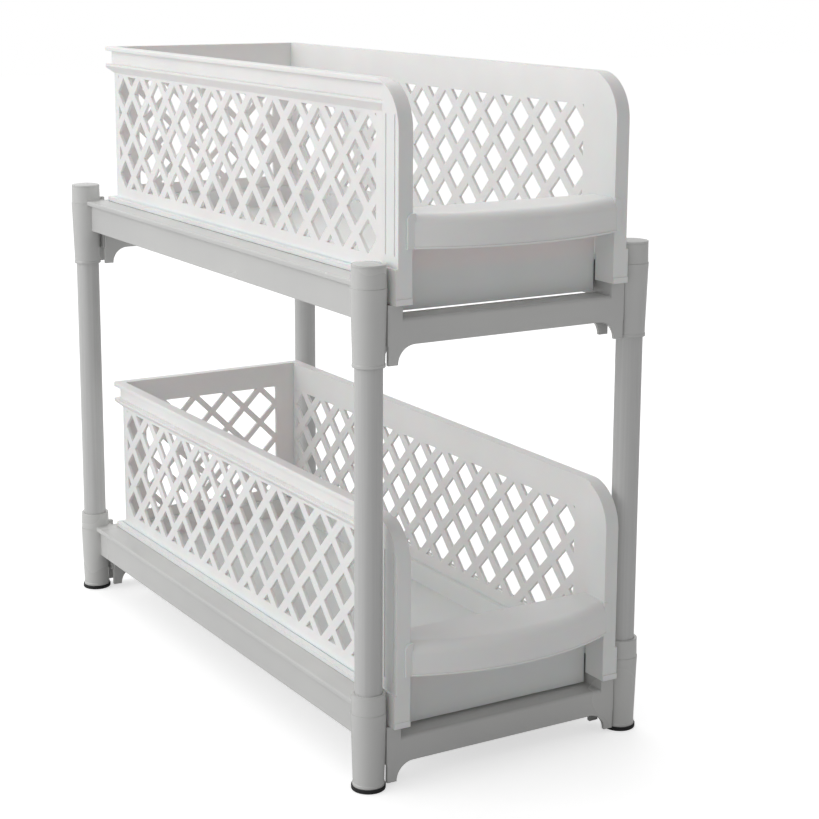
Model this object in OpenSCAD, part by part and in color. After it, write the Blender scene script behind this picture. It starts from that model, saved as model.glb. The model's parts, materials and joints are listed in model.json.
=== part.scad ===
// Two tier under sink organizer: tube posts, two moulded tier frames and two pull-out lattice baskets.
// The origin is on the floor, under the centre of the whole outline. +X is right, the front faces -Y.

/* [Posts] */
// Distance between the left and right posts, centre to centre
post_pitch_x = 178.6; // [170:0.1:230]
// Distance between the front and rear posts, centre to centre
post_pitch_y = 412.7; // [380:0.1:460]
// Height from one tier to the next
tier_pitch = 244.5; // [230:0.5:320]
// Outer diameter of the tubes
tube_d = 16; // [14:0.1:16.6]
// Wall of the tubes
tube_wall = 1.5; // [0.8:0.1:3]
// Radial clearance of tubes, caps and feet in the sockets
socket_fit = 0.15; // [0.05:0.05:0.3]

/* [Collars, caps and feet] */
// Height of a collar
collar_h = 55.6; // [50:0.1:62]
// Largest radius of a collar, at its parting step
collar_r = 10.3; // [10:0.1:11.4]
// Height of the parting step below the collar's top
collar_step_drop = 11.6; // [9.8:0.1:20]
// Thickness of the web that stops the tube half way up a collar
socket_web = 2; // [1.5:0.1:4]
// Height of the rubber foot under a collar
foot_h = 2.6; // [2:0.1:8]
// Height of the cap over a collar
cap_h = 2.3; // [1.8:0.1:5]
// Depth of the plugs of caps and feet
plug_h = 12; // [6:0.5:20]

/* [Tier frame] */
// Height of a side rail
rail_h = 21.8; // [15:0.1:28]
// Height of the rail top above the collar's foot
rail_top = 45.9; // [42:0.1:50]
// Height of the front and rear aprons
apron_h = 15; // [12:0.1:18]
// Width of an apron, front to back
apron_w = 17; // [14:0.1:22]
// How far an apron's outer face stands out past the posts' centre line
apron_out = 5.65; // [4:0.05:8]
// Wall of the frame mouldings
frame_wall = 2.2; // [1.5:0.1:3]
// How far the top lip of a rail stands out
lip_w = 3; // [1:0.1:6]
// Thickness of that lip
lip_h = 3; // [2:0.1:5]
// Spacing of the ribs under rails and aprons
rib_pitch = 46; // [30:1:80]
// Thickness of those ribs
rib_t = 1.6; // [1:0.1:3]

/* [Basket] */
// Height of a basket from the rail top to its rim
basket_h = 110; // [95:0.5:130]
// Thickness of the basket walls
wall_t = 2; // [1.5:0.1:2.8]
// Clearance between the basket's flange and the collars beside it
flange_gap = 1.5; // [1:0.1:3]
// Clearance between the basket's rim and the collars beside it
rim_gap = 2; // [1.2:0.1:4]
// How far the rim and its ridge stand out from the wall
rim_reach = 5.7; // [4:0.1:8]
// How far the neck between rim and ridge stands out from the wall
neck_reach = 1.3; // [0.5:0.1:3]
// How far the rim's back edge lies in front of the rear posts' centre line
rim_inset = 10.35; // [6:0.05:14]
// How far the tray's body is drawn in from the walls above it
body_step = 3.3; // [3:0.1:5]
// Side clearance of the tray's body between the rails
body_gap = 3; // [1:0.1:5]
// Running clearance between flange and rail top, and under the feet of the columns
slide_gap = 0.2; // [0.1:0.05:0.5]
// Depth of the tray's body below the rail top
body_drop = 18.5; // [15:0.1:19.2]
// Depth of the tray floor's upper face below the rail top
floor_drop = 11; // [6:0.1:13]
// Thickness of the flange round the tray
flange_t = 2.8; // [2:0.1:4]

/* [Lattice] */
// Pitch of the side lattice, along and up
side_pitch = 29; // [22:0.5:40]
// Pitch of the back lattice
back_pitch = 27; // [20:0.5:36]
// Width of a side lattice rib
side_rib = 6.2; // [3:0.1:10]
// Width of a back lattice rib
back_rib = 4; // [2.5:0.1:8]
// Plain strip at the back end of a side lattice
lattice_back_margin = 5; // [4:0.1:20]
// Plain strip at the front end of a side lattice
lattice_front_margin = 16.5; // [10:0.1:30]
// Plain strip beside the back lattice
back_margin = 15.3; // [6:0.1:30]
// Plain strip below the lattices
lattice_foot = 8; // [5:0.1:20]
// Plain strip between the lattices and the ridge
lattice_top_gap = 1.8; // [1:0.1:10]

/* [Columns and handle] */
// Depth of a front column, front to back
column_depth = 17.5; // [13:0.1:25]
// How far a column's face stands out past the posts' centre line
column_out = 10.65; // [8:0.05:14]
// Radius of the rounded front end of the rim
front_round = 27; // [10:0.5:45]
// Height of a column's foot below the rail top
foot_drop = 11.8; // [8:0.1:14]
// Height of the handle's top above the rail top
handle_top = 38.5; // [30:0.1:60]
// Height of the handle's grip face
handle_face_h = 19.5; // [14:0.1:26]
// How far the handle stands out at its ends, past the columns' face
handle_end_out = 2; // [1:0.1:8]
// How much further the handle bows out in the middle
handle_bow = 15; // [6:0.5:30]
// Radius of the handle's upper front edge
handle_round = 7; // [3:0.1:10]
// Wall of the handle
handle_wall = 2; // [1.5:0.1:3]

/* [Hidden] */
$fn = 64;

frame_white = "whitesmoke";
basket_white = "white";
foot_black = "dimgray";
cap_white = "gainsboro";

post_x = post_pitch_x / 2;
post_y = post_pitch_y / 2;
tube_r = tube_d / 2;
socket_r = tube_r + socket_fit;
socket_depth = (collar_h - socket_web) / 2;
cap_r = collar_r - 0.5;
foot_r = collar_r - 0.3;
plug_wall = 1.6;

clear_x = post_x - collar_r;
flange_x = clear_x - flange_gap;
rim_x = clear_x - rim_gap;
wall_x = rim_x - rim_reach;
inner_x = wall_x - wall_t;
body_x = wall_x - body_step;
rail_inner_x = body_x + body_gap;
column_foot_x = clear_x - 0.5;

rim_back = post_y - rim_inset;
wall_back = rim_back - rim_reach;
inner_back = wall_back - wall_t;
body_back = wall_back - body_step;
column_face = post_y + column_out;
column_back = column_face - column_depth;
rail_end = column_back - 0.5;
panel_face = column_back - 1.5;
panel_back = panel_face - wall_t;

rail_face_x = post_x;
apron_face = post_y + apron_out;
apron_inner = apron_face - apron_w;
apron_top = rail_top - 20;
apron_foot = apron_top - apron_h;
notch_top = rail_top - foot_drop - slide_gap;
stop_h = 1.5;
stop_t = 3;

flange_top = slide_gap + flange_t;
ridge_under = basket_h - 18.5;
ridge_edge = ridge_under + 5;
neck_foot = ridge_under + 6.5;
rim_foot = basket_h - 2.7;
cove = 2;
edge_round = 0.8;
tongue_t = 0.9;
tongue_d = 1.2;
tongue_fit = 0.1;
tab_w = 12;
tab_pitch = 60;
tab_h = 2.4;
tab_t = 1.2;
tab_fit = 0.1;
tab_count = floor((column_back + inner_back - 30) / tab_pitch);

window_foot = flange_top + lattice_foot;
window_top = ridge_under - lattice_top_gap;
back_window_top = ridge_under + 1.5;

handle_foot = handle_top - handle_face_h;
handle_ends = column_face + handle_end_out;
handle_r = (pow(body_x, 2) + pow(handle_bow, 2)) / (2 * handle_bow);
handle_axis = -(handle_ends + handle_bow - handle_r);
bead_h = 1.2;
bead_out = 0.5;
ear_w = 4;
ear_t = 1.8;

front_reach = handle_ends + handle_bow + bead_out;
rear_reach = post_y + collar_r;
grid_shift = (front_reach - rear_reach) / 2;

lower_z = foot_h;
upper_z = foot_h + tier_pitch;

// Puts the post grid so that the whole outline is centred on the origin.
module in_place(level = 0) {
    translate([0, grid_shift, level]) children();
}

// Extrudes a YZ outline along X from x0 to x1.
module along_x(x0, x1) {
    translate([x0, 0, 0]) rotate([90, 0, 90]) linear_extrude(x1 - x0) children();
}

// Extrudes an XZ outline along Y from y0 to y1.
module along_y(y0, y1) {
    translate([0, y1, 0]) rotate([90, 0, 0]) linear_extrude(y1 - y0) children();
}

// A box given by its two corners.
module block(low, high) {
    translate(low) cube(high - low);
}

// Puts its children at the four posts.
module at_posts() {
    for (x = [-post_x, post_x], y = [-post_y, post_y])
        translate([x, y, 0]) children();
}

// Half outline of a collar, tapered below its parting step.
module collar_outline() {
    step_z = collar_h - collar_step_drop;
    polygon([[0, 0], [collar_r - 0.9, 0], [collar_r - 0.9, 1.5], [collar_r - 1.2, 1.9],
             [collar_r, step_z], [collar_r - 0.3, step_z], [collar_r - 0.5, collar_h], [0, collar_h]]);
}

// Upturned channel of a rail, seen from the front, on the right side.
module rail_outline() {
    difference() {
        union() {
            translate([rail_inner_x, rail_top - rail_h]) square([rail_face_x - rail_inner_x, rail_h]);
            translate([rail_face_x - 1, rail_top - lip_h]) square([lip_w, lip_h]);
            translate([rail_face_x + lip_w - 1, rail_top - lip_h]) square([1, lip_h - 1]);
            translate([rail_face_x + lip_w - 1, rail_top - 1]) circle(1);
        }
        translate([rail_inner_x + frame_wall, rail_top - rail_h - 1])
            square([rail_face_x - rail_inner_x - 2 * frame_wall, rail_h + 1 - frame_wall]);
    }
}

module right_rail() {
    along_y(-rail_end, rail_end) rail_outline();
    // end walls and the blend into the collars
    for (side = [-1, 1]) scale_y(side) {
        block([rail_inner_x, rail_end - frame_wall, rail_top - rail_h], [rail_face_x, rail_end, rail_top]);
        block([clear_x, rail_end - 1, rail_top - rail_h], [rail_face_x, post_y - 3, rail_top]);
        block([clear_x, rail_end - 1, rail_top - lip_h], [rail_face_x + lip_w, post_y - 3, rail_top - 0.4]);
    }
    rib_count = floor(2 * (rail_end - 10) / rib_pitch);
    for (i = [0:rib_count])
        translate([0, (i - rib_count / 2) * rib_pitch, 0])
            block([rail_inner_x + 1, -rib_t / 2, rail_top - rail_h + 2], [rail_face_x - 1, rib_t / 2, rail_top - 1]);
}

// Mirrors front to back where side is 1 or -1.
module scale_y(side) {
    mirror([0, side < 0 ? 1 : 0, 0]) children();
}

// Mirrors left to right where side is 1 or -1.
module scale_x(side) {
    mirror([side < 0 ? 1 : 0, 0, 0]) children();
}

// Hollow block beside a collar, whose top carries a column's foot.
module corner_block() {
    difference() {
        block([rail_inner_x, rail_end - 1, apron_foot], [clear_x + 1.4, apron_face, notch_top]);
        block([rail_inner_x + frame_wall, rail_end + frame_wall, apron_foot - 1],
              [clear_x - 1, apron_face - frame_wall, notch_top - frame_wall]);
    }
}

// Curved gusset under the end of an apron wall.
module gusset_outline() {
    difference() {
        translate([rail_inner_x - 8, 0]) square([clear_x + 1 - rail_inner_x + 8, apron_foot + 1]);
        translate([rail_inner_x - 8, -0.01]) circle(apron_foot);
    }
}

// Channel of an apron, seen from the side, at the rear.
module apron_outline() {
    difference() {
        union() {
            translate([apron_inner, apron_foot]) square([apron_w, apron_h - 2]);
            translate([apron_inner, apron_foot]) square([apron_w - 2, apron_h]);
            translate([apron_face - 2, apron_top - 2]) circle(2);
        }
        translate([apron_inner + frame_wall, apron_foot - 1])
            square([apron_w - 2 * frame_wall, apron_h + 1 - frame_wall]);
    }
}

module rear_apron() {
    along_x(-clear_x - 0.5, clear_x + 0.5) apron_outline();
    rib_count = floor(2 * (rail_inner_x - 10) / rib_pitch);
    for (i = [0:rib_count])
        translate([(i - rib_count / 2) * rib_pitch, 0, 0])
            block([-rib_t / 2, apron_inner + 1, apron_foot + 1], [rib_t / 2, apron_face - 1, apron_top - 1]);
    for (side = [-1, 1]) scale_x(side) {
        corner_block();
        along_y(apron_face - frame_wall, apron_face) gusset_outline();
        along_y(apron_inner, apron_inner + frame_wall) gusset_outline();
        // end wall that ties the rail down to the apron
        block([rail_inner_x, apron_inner, apron_foot], [rail_inner_x + frame_wall, rail_end, rail_top - 1]);
    }
}

// One tier: collars, rails and aprons in one moulding. Its collars' feet are at height 0.
module tier_frame() {
    color(frame_white) difference() {
        union() {
            at_posts() rotate_extrude() collar_outline();
            for (side = [-1, 1]) scale_x(side) right_rail();
            for (side = [-1, 1]) scale_y(side) rear_apron();
            for (side = [-1, 1]) scale_x(side)
                block([clear_x - stop_t, post_y - 2, notch_top - 1], [clear_x + 1, post_y + 2, rail_top + stop_h]);
        }
        at_posts() {
            translate([0, 0, -1]) cylinder(r = socket_r, h = socket_depth + 1);
            translate([0, 0, collar_h - socket_depth]) cylinder(r = socket_r, h = socket_depth + 1);
        }
    }
}

// Tube between the stop webs of the two tiers.
module tube(x, y) {
    color(frame_white) translate([x, y, lower_z + collar_h - socket_depth]) difference() {
        cylinder(r = tube_r, h = tier_pitch - collar_h + 2 * socket_depth);
        translate([0, 0, -1]) cylinder(r = tube_r - tube_wall, h = tier_pitch + 2);
    }
}

// Domed cap with a hollow plug.
module cap(x, y) {
    crown_r = (pow(cap_r, 2) + 1) / 2;
    color(cap_white) translate([x, y, upper_z + collar_h]) {
        rotate_extrude() intersection() {
            square([cap_r, cap_h]);
            translate([0, cap_h - crown_r]) circle(crown_r, $fn = 128);
        }
        translate([0, 0, -plug_h]) difference() {
            cylinder(r = tube_r, h = plug_h);
            translate([0, 0, -1]) cylinder(r = tube_r - plug_wall, h = plug_h + 1);
        }
    }
}

// Rubber foot with a hollow plug.
module foot(x, y) {
    color(foot_black) translate([x, y, 0]) {
        rotate_extrude() {
            square([foot_r - 0.8, foot_h]);
            translate([0, 0.8]) square([foot_r, foot_h - 0.8]);
            translate([foot_r - 0.8, 0.8]) circle(0.8);
        }
        translate([0, 0, foot_h]) difference() {
            cylinder(r = tube_r, h = plug_h);
            translate([0, 0, 0.01]) cylinder(r = tube_r - plug_wall, h = plug_h + 1);
        }
    }
}

// Outline of a basket wall from the basket's middle out to its skin, for a wall whose skin is at w.
module wall_outline(w) {
    reach = w + rim_reach;
    difference() {
        union() {
            polygon([[0, flange_top], [w + cove, flange_top], [w, flange_top + cove], [w, ridge_under],
                     [reach, ridge_edge], [reach, neck_foot], [w + neck_reach, neck_foot],
                     [w + neck_reach, rim_foot], [reach, rim_foot], [reach, basket_h - edge_round],
                     [reach - edge_round, basket_h], [0, basket_h]]);
            translate([reach - edge_round, basket_h - edge_round]) circle(edge_round);
        }
        translate([w + cove, flange_top + cove]) circle(cove);
    }
}

// The walls of a basket as one shell, before it is split into sides and back.
module wall_shell() {
    difference() {
        intersection() {
            along_y(-column_back - 1, rim_back) wall_outline(wall_x);
            along_x(-1, rim_x + 1) union() {
                wall_outline(wall_back);
                translate([-column_back - 1, flange_top])
                    square([column_back + 2, basket_h - flange_top]);
            }
            linear_extrude(basket_h + 1) {
                translate([-1, -column_back - 1]) square([rim_x + 1 - 4.5, column_back + 1 + rim_back]);
                translate([-1, -column_back - 1]) square([rim_x + 1, column_back + 1 + rim_back - 4.5]);
                translate([rim_x - 4.5, rim_back - 4.5]) circle(4.5);
            }
        }
        block([-2, -column_back - 2, -1], [inner_x, inner_back, basket_h + 2]);
    }
}

// Diamond holes of a lattice: rows and columns at half the pitch, cut off by the window from low to high.
module lattice_holes(low, high, first, pitch, rib) {
    hole = pitch / sqrt(2) - rib;
    steps_x = ceil((high[0] - low[0]) / pitch) + 1;
    steps_z = ceil((high[1] - low[1]) / pitch) + 1;
    intersection() {
        translate(low) square(high - low);
        for (i = [-2 * steps_x:2 * steps_x], k = [-2 * steps_z:2 * steps_z])
            if ((i + k) % 2 == 0) {
                x = first[0] + i * pitch / 2;
                z = first[1] + k * pitch / 2;
                if (x > low[0] - pitch && x < high[0] + pitch && z > low[1] - pitch && z < high[1] + pitch)
                    translate([x, z]) rotate(45) square(hole, center = true);
            }
    }
}

// Front column of a side, with its stepped foot. It is cored from below.
module column() {
    difference() {
        union() {
            block([body_x, -column_face, -foot_drop], [rim_x, -column_back, basket_h]);
            block([body_x, -column_face, -foot_drop], [column_foot_x, -column_back, flange_top + 5]);
            block([body_x, -column_face - 0.5, -foot_drop], [column_foot_x, -column_back, 3.5 - foot_drop]);
        }
        block([body_x + wall_t, -column_face + wall_t, -foot_drop - 1],
              [rim_x - wall_t, -column_back - wall_t, ridge_under]);
        for (y = [-column_face + 4, -column_back - 4])
            block([rim_x - 0.4, y - 0.6, flange_top + 12], [rim_x + 1, y + 0.6, ridge_under]);
    }
}

// Side of the basket seen from the side, with the rounded front end of its rim.
module side_outline() {
    low = -foot_drop - 1;
    translate([-column_face - 1, low]) square([column_face + rim_back + 2, basket_h - front_round - low]);
    translate([-column_face + front_round, low])
        square([column_face - front_round + rim_back + 2, basket_h + 1 - low]);
    translate([-column_face + front_round, basket_h - front_round]) circle(front_round, $fn = 128);
}

// Right side of a basket: lattice wall, rim, ridge and front column.
module right_side() {
    color(basket_white) difference() {
        union() {
            intersection() {
                union() {
                    intersection() {
                        wall_shell();
                        block([inner_x, -column_back - 1, flange_top], [rim_x + 1, rim_back + 1, basket_h + 1]);
                    }
                    column();
                }
                along_x(body_x - 1, column_foot_x + 1) side_outline();
            }
            for (i = [0:tab_count])
                translate([0, (i - tab_count / 2) * tab_pitch, 0])
                    block([inner_x + 0.4, -tab_w / 2, flange_top - tab_h],
                          [inner_x + 0.4 + tab_t, tab_w / 2, flange_top + 1]);
        }
        along_x(inner_x - 1, rim_x + 1)
            lattice_holes([-column_face + column_depth + lattice_front_margin, window_foot],
                          [inner_back - lattice_back_margin, window_top],
                          [0, window_top - side_pitch * 0.386], side_pitch, side_rib);
        // groove for the back's tongue
        block([inner_x - 1, inner_back + 0.5, flange_top - 1],
              [inner_x + tongue_d + tongue_fit, inner_back + 0.5 + tongue_t + 2 * tongue_fit, ridge_under]);
    }
}

// Back of a basket, between the two sides.
module back() {
    color(basket_white) difference() {
        union() {
            along_x(-inner_x, inner_x) difference() {
                wall_outline(wall_back);
                translate([-1, 0]) square([inner_back + 1, basket_h + 1]);
            }
            block([-inner_x - tongue_d, inner_back + 0.5 + tongue_fit, flange_top],
                  [inner_x + tongue_d, inner_back + 0.5 + tongue_fit + tongue_t, ridge_under - 1]);
        }
        along_y(inner_back - 1, rim_back + 1)
            lattice_holes([back_margin - inner_x, window_foot], [inner_x - back_margin, back_window_top],
                          [0, back_window_top], back_pitch, back_rib);
    }
}

// Plan of the tray's flange.
module flange_plan() {
    difference() {
        union() {
            translate([-flange_x, -column_back]) square([2 * flange_x, column_back + rim_back - 4]);
            translate([-flange_x + 4, -column_back]) square([2 * flange_x - 8, column_back + rim_back]);
            for (x = [-flange_x + 4, flange_x - 4])
                translate([x, rim_back - 4]) circle(4);
        }
        translate([-body_x, -column_back - 1]) square([2 * body_x, column_back + 1 - panel_back]);
    }
}

// Tray that carries the load: its flange rides on the rails, and its body hangs between them.
module tray() {
    floor_z = -floor_drop;
    color(basket_white) difference() {
        union() {
            translate([0, 0, slide_gap]) linear_extrude(flange_t) flange_plan();
            translate([0, 0, -body_drop]) linear_extrude(body_drop + flange_top) body_plan(0);
        }
        // the inside, above the floor
        translate([0, 0, floor_z]) linear_extrude(floor_drop + flange_top + 1) body_plan(wall_t);
        // the ribbed underside
        translate([0, 0, -body_drop - 1]) linear_extrude(body_drop - floor_drop + 1 - wall_t) difference() {
            body_plan(wall_t);
            for (i = [-1:1])
                translate([i * body_x / 2 - rib_t / 2, -panel_back]) square([rib_t, panel_back + body_back]);
            for (i = [-4:4])
                translate([-body_x, i * rib_pitch - rib_t / 2]) square([2 * body_x, rib_t]);
        }
        // slots for the sides' tabs
        for (side = [-1, 1], i = [0:tab_count]) scale_x(side)
            translate([0, (i - tab_count / 2) * tab_pitch, 0])
                block([inner_x + 0.4 - tab_fit, -tab_w / 2 - tab_fit, slide_gap - 1],
                      [inner_x + 0.4 + tab_t + tab_fit, tab_w / 2 + tab_fit, flange_top + 1]);
    }
}

// Plan of the tray's body, drawn in by the given inset, with round rear corners.
module body_plan(inset) {
    r = 6 - inset;
    x = body_x - inset;
    front = -panel_back + inset;
    rear = body_back - inset;
    translate([-x, front]) square([2 * x, rear - front - r]);
    translate([-x + r, front]) square([2 * x - 2 * r, rear - front]);
    for (side = [-1, 1])
        translate([side * (x - r), rear - r]) circle(r);
}

// Section of the handle from its axis outwards, drawn in by the given inset.
module handle_section(inset) {
    r = handle_r - inset;
    top = handle_top - inset;
    round_r = handle_round - inset;
    foot = inset > 0 ? handle_foot - 1 : handle_foot;
    translate([handle_r - handle_bow - 60, foot]) square([r - round_r - handle_r + handle_bow + 60, top - foot]);
    translate([r - round_r - 1, foot]) square([round_r + 1, top - round_r - foot]);
    translate([r - round_r, top - round_r]) circle(round_r);
}

// Curved solid of the handle in front of the panel, between the columns.
module handle_solid(inset) {
    intersection() {
        translate([0, handle_axis, 0]) rotate_extrude($fn = 180) handle_section(inset);
        block([-body_x + inset, -handle_ends - handle_bow - 1, handle_foot - 2],
              [body_x - inset, inset > 0 ? -panel_face : -panel_back, handle_top + 1]);
    }
}

// Front of a basket: low panel, hollow pull handle and the ears that lap over the columns.
module front() {
    color(basket_white) {
        block([-body_x, -panel_face, -body_drop], [body_x, -panel_back, handle_top]);
        difference() {
            handle_solid(0);
            handle_solid(handle_wall);
        }
        // bead along the handle's lower edge
        intersection() {
            translate([0, handle_axis, handle_foot]) rotate_extrude($fn = 180)
                translate([handle_r - 1, 0]) square([1 + bead_out, bead_h]);
            block([-body_x, -handle_ends - handle_bow - 2, 0], [body_x, -panel_face, handle_top]);
        }
        for (side = [-1, 1]) scale_x(side) {
            block([body_x - 1, -column_face - ear_t, handle_foot],
                  [body_x + ear_w, -column_face, handle_top - ear_w]);
            translate([body_x, -column_face, handle_top - ear_w]) rotate([90, 0, 0])
                linear_extrude(ear_t) intersection() {
                    circle(ear_w);
                    translate([-1, 0]) square([ear_w + 1, ear_w]);
                }
        }
    }
}

in_place(lower_z) tier_frame();  // lower_tier_frame
in_place(upper_z) tier_frame();  // upper_tier_frame
in_place() tube(-post_x, -post_y);  // front_left_tube
in_place() tube(post_x, -post_y);  // front_right_tube
in_place() tube(-post_x, post_y);  // rear_left_tube
in_place() tube(post_x, post_y);  // rear_right_tube
in_place() cap(-post_x, -post_y);  // front_left_cap
in_place() cap(post_x, -post_y);  // front_right_cap
in_place() cap(-post_x, post_y);  // rear_left_cap
in_place() cap(post_x, post_y);  // rear_right_cap
in_place() foot(-post_x, -post_y);  // front_left_foot
in_place() foot(post_x, -post_y);  // front_right_foot
in_place() foot(-post_x, post_y);  // rear_left_foot
in_place() foot(post_x, post_y);  // rear_right_foot
in_place(lower_z + rail_top) tray();  // lower_basket_tray
in_place(lower_z + rail_top) scale_x(-1) right_side();  // lower_basket_left_side
in_place(lower_z + rail_top) right_side();  // lower_basket_right_side
in_place(lower_z + rail_top) back();  // lower_basket_back
in_place(lower_z + rail_top) front();  // lower_basket_front
in_place(upper_z + rail_top) tray();  // upper_basket_tray
in_place(upper_z + rail_top) scale_x(-1) right_side();  // upper_basket_left_side
in_place(upper_z + rail_top) right_side();  // upper_basket_right_side
in_place(upper_z + rail_top) back();  // upper_basket_back
in_place(upper_z + rail_top) front();  // upper_basket_front
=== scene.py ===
import json
import math
import bpy
from mathutils import Matrix, Vector

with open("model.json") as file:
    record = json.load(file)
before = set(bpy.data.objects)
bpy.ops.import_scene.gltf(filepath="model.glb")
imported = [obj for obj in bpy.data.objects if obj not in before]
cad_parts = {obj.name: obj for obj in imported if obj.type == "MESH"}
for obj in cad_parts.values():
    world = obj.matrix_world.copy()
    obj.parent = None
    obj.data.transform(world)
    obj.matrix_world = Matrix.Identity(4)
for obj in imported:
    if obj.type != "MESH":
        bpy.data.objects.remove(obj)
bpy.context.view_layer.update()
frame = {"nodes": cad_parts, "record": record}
nodes = frame["nodes"]
bodies = frame["record"]["behaviour"]["bodies"]
bpy.ops.object.select_all(action="DESELECT")


# The pull-out baskets: tray, two lattice sides, back and handled front of each, snapped together.
# They are injection moulded in white polypropylene. The moulds are polished, so they have a soft
# satin gloss, and their edges carry the small radius that a mould leaves.
def srgb(code):
    """An sRGB hex colour as the linear colour that a socket takes."""
    channels = [int(code[i:i + 2], 16) / 255 for i in (1, 3, 5)]
    return [c / 12.92 if c <= 0.04045 else ((c + 0.055) / 1.055) ** 2.4 for c in channels] + [1.0]


def add(tree, kind, settings=None, links=None, **inputs):
    """Adds one node, with its settings, its plain input values and its links from other nodes."""
    made = tree.nodes.new(kind)
    for key, value in (settings or {}).items():
        setattr(made, key, value)
    for key, value in inputs.items():
        made.inputs[key.replace("_", " ")].default_value = value
    for key, source in (links or {}).items():
        tree.links.new(source, made.inputs[key])
    return made


def new_material(name):
    """An empty node material, and the tree that it is built in."""
    material = bpy.data.materials.new(name)
    material.use_nodes = True
    material.node_tree.nodes.clear()
    return material, material.node_tree


def dress(material, names):
    """Gives CAD nodes that material."""
    for name in names:
        mesh = nodes[name].data
        mesh.materials.clear()
        mesh.materials.append(material)


# A noise hardly leaves these two values, so colour and gloss run from end to end between them.
noise_low = 0.3
noise_high = 0.7


def two_tone(tree, noise, light, dark):
    """A colour that goes from dark to light with a noise."""
    ramp = add(tree, "ShaderNodeValToRGB", links={"Fac": noise.outputs["Fac"]})
    for stop, position, code in zip(ramp.color_ramp.elements, (noise_low, noise_high), (dark, light)):
        stop.position = position
        stop.color = srgb(code)
    return ramp


def moulded(name, light, dark, rough_low, rough_high, cloud_mm, grain_mm, depth_mm, edge_mm, ior,
            translucency=0.0):
    """A moulded plastic: slow clouding in its colour and gloss, a fine grain, and rounded edges."""
    material, tree = new_material(name)
    scatter_mm = 3
    place = add(tree, "ShaderNodeTexCoord")
    cloud = add(tree, "ShaderNodeTexNoise", links={"Vector": place.outputs["Object"]},
                Scale=1000 / cloud_mm, Detail=2.0, Roughness=0.5)
    grain = add(tree, "ShaderNodeTexNoise", links={"Vector": place.outputs["Object"]},
                Scale=1000 / grain_mm, Detail=1.0, Roughness=0.5)
    colour = two_tone(tree, cloud, light, dark)
    gloss = add(tree, "ShaderNodeMapRange", links={"Value": cloud.outputs["Fac"]},
                From_Min=noise_low, From_Max=noise_high, To_Min=rough_low, To_Max=rough_high)
    edge = add(tree, "ShaderNodeBevel", {"samples": 4}, Radius=edge_mm / 1000)
    bump = add(tree, "ShaderNodeBump", Strength=0.2, Distance=depth_mm / 1000,
               links={"Height": grain.outputs["Fac"], "Normal": edge.outputs["Normal"]})
    skin = add(tree, "ShaderNodeBsdfPrincipled", IOR=ior,
               Subsurface_Weight=translucency, Subsurface_Scale=scatter_mm / 1000,
               links={"Base Color": colour.outputs["Color"], "Roughness": gloss.outputs["Result"],
                      "Normal": bump.outputs["Normal"]})
    add(tree, "ShaderNodeOutputMaterial", links={"Surface": skin.outputs["BSDF"]})
    return material


# White polypropylene from a polished mould: nearly even colour, satin, a little translucent in its
# thin walls, with flow clouds some 60 mm wide.
polypropylene = moulded("white_polypropylene", light="#f7f7f6", dark="#f1f1f0",
                        rough_low=0.30, rough_high=0.36, cloud_mm=60, grain_mm=0.9, depth_mm=0.04,
                        edge_mm=0.5, ior=1.49, translucency=0.25)
dress(polypropylene, bodies["lower_basket"] + bodies["upper_basket"])


# The two tier frames with their collars, rails and aprons, and the caps pressed into the upper
# collars. They are moulded in a light grey-white styrene plastic, glossier than the baskets.
styrene = moulded("grey_white_styrene", light="#d4d4d2", dark="#cdcdcc",
                  rough_low=0.22, rough_high=0.28, cloud_mm=80, grain_mm=0.8, depth_mm=0.02,
                  edge_mm=0.6, ior=1.55)
dress(styrene, ["lower_tier_frame", "upper_tier_frame"])
dress(styrene, [name for name in bodies["stand"] if name.endswith("_cap")])


# The four tubes between the collars. They are extruded, so they have faint draw lines along their
# length and a duller, more even skin than the tier frames.
def drawn_tube(name, light, dark, line_mm, depth_mm, line_stretch):
    """Extruded plastic: its colour and relief vary round the tube and hardly along it."""
    material, tree = new_material(name)
    place = add(tree, "ShaderNodeTexCoord")
    stretch = add(tree, "ShaderNodeMapping", links={"Vector": place.outputs["Object"]},
                  Scale=(1, 1, 1 / line_stretch))
    lines = add(tree, "ShaderNodeTexNoise", links={"Vector": stretch.outputs["Vector"]},
                Scale=1000 / line_mm, Detail=2.0)
    colour = two_tone(tree, lines, light, dark)
    bump = add(tree, "ShaderNodeBump", links={"Height": lines.outputs["Fac"]},
               Strength=0.15, Distance=depth_mm / 1000)
    skin = add(tree, "ShaderNodeBsdfPrincipled", IOR=1.53, Roughness=0.36,
               links={"Base Color": colour.outputs["Color"], "Normal": bump.outputs["Normal"]})
    add(tree, "ShaderNodeOutputMaterial", links={"Surface": skin.outputs["BSDF"]})
    return material


vinyl = drawn_tube("extruded_grey_white_vinyl", light="#d0d0cf", dark="#c9c9c8",
                   line_mm=1.5, depth_mm=0.03, line_stretch=100)
dress(vinyl, [name for name in bodies["stand"] if name.endswith("_tube")])


# The feet: black rubber plugs under the lower collars, matte and slightly dusty.
rubber = moulded("black_rubber", light="#232324", dark="#1a1a1b", rough_low=0.62, rough_high=0.75,
                 cloud_mm=9, grain_mm=0.5, depth_mm=0.08, edge_mm=0.4, ior=1.52)
dress(rubber, [name for name in bodies["stand"] if name.endswith("_foot")])


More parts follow.
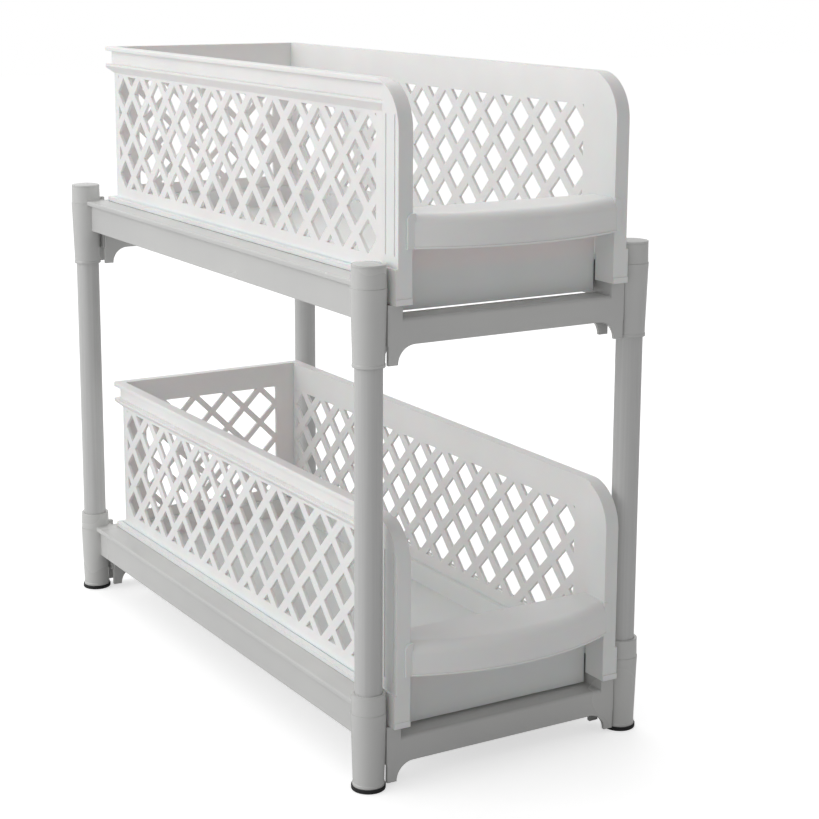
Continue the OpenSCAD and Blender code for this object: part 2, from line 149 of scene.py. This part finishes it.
# The studio floor: a wide sweep of paper that keeps the object's soft shadow. A glow that only the
# camera sees makes the paper white elsewhere, without lighting the object from below.
floor_size = 12
bpy.ops.mesh.primitive_plane_add(size=floor_size, location=(0, 0, 0))
floor = bpy.context.object
floor.name = "studio_floor"
paper, tree = new_material("white_paper_sweep")
seen = add(tree, "ShaderNodeLightPath")
matte = add(tree, "ShaderNodeBsdfDiffuse", Color=srgb("#d8d8d8"))
glow = add(tree, "ShaderNodeEmission", Color=srgb("#cccccc"),
           links={"Strength": seen.outputs["Is Camera Ray"]})
lift = add(tree, "ShaderNodeAddShader", links={0: matte.outputs["BSDF"], 1: glow.outputs["Emission"]})
add(tree, "ShaderNodeOutputMaterial", links={"Surface": lift.outputs["Shader"]})
floor.data.materials.append(paper)

# The room: bright at the rear left, where the white sweep is lit, and dim at the front right, so that
# the aprons and handles are darker than the sides. The camera sees the backdrop white.
bright_side = (-0.5, 0.85, 0.15)
dim_light = 0.25
bright_light = 0.92
world = bpy.data.worlds.new("pale_room")
bpy.context.scene.world = world
world.use_nodes = True
tree = world.node_tree
tree.nodes.clear()
place = add(tree, "ShaderNodeTexCoord")
towards = add(tree, "ShaderNodeVectorMath", {"operation": "DOT_PRODUCT"},
              links={0: place.outputs["Generated"]})
towards.inputs[1].default_value = bright_side
room_light = add(tree, "ShaderNodeMapRange", links={"Value": towards.outputs["Value"]},
                 From_Min=-1.0, From_Max=1.0, To_Min=dim_light, To_Max=bright_light)
seen = add(tree, "ShaderNodeLightPath")
strength = add(tree, "ShaderNodeMapRange", To_Max=1.0,
               links={"Value": seen.outputs["Is Camera Ray"], "To Min": room_light.outputs["Result"]})
sky = add(tree, "ShaderNodeBackground", Color=srgb("#ffffff"),
          links={"Strength": strength.outputs["Result"]})
add(tree, "ShaderNodeOutputWorld", links={"Surface": sky.outputs["Background"]})


# Two soft boxes of one size: the left one lights the left sides and the rail tops, and the one
# overhead and behind lights the rims.
def soft_box(name, place, watts):
    """A square area lamp at place that points at the middle of the object."""
    box_size = 1.4
    aim = Vector((0, 0, 0.2))
    bpy.ops.object.light_add(type="AREA", location=place)
    lamp = bpy.context.object
    lamp.name = name
    lamp.data.shape = "SQUARE"
    lamp.data.size = box_size
    lamp.data.energy = watts
    lamp.rotation_mode = "QUATERNION"
    lamp.rotation_quaternion = (aim - Vector(place)).to_track_quat("-Z", "Y")


soft_box("left_soft_box", (-1.9, 0.5, 1.0), watts=12)
soft_box("overhead_soft_box", (0.3, 0.9, 2.0), watts=10)

# The camera stands front left, a little above the upper rims. Its place and turn follow from the
# posts, collars and rims in the picture, and its small shift from the picture's framing.
camera_place = Vector((-0.5955, -1.0825, 0.4687))
camera_yaw = math.radians(31.02)
camera_pitch = math.radians(11.46)
camera_roll = math.radians(0.28)
camera_lens = 83.72
camera_shift = -0.085
forward = Vector((math.sin(camera_yaw) * math.cos(camera_pitch),
                  math.cos(camera_yaw) * math.cos(camera_pitch), -math.sin(camera_pitch)))
level = Vector((math.cos(camera_yaw), -math.sin(camera_yaw), 0))
upright = level.cross(forward)
right = level * math.cos(camera_roll) + upright * math.sin(camera_roll)
up = upright * math.cos(camera_roll) - level * math.sin(camera_roll)
bpy.ops.object.camera_add(location=camera_place)
camera = bpy.context.object
camera.name = "photo_camera"
camera.rotation_mode = "QUATERNION"
camera.rotation_quaternion = Matrix((right, up, -forward)).transposed().to_quaternion()
camera.data.sensor_width = 36
camera.data.lens = camera_lens
camera.data.shift_y = camera_shift
camera.data.clip_start = 0.05
camera.data.clip_end = 50
bpy.context.scene.camera = camera
bpy.context.scene.view_settings.view_transform = "Standard"
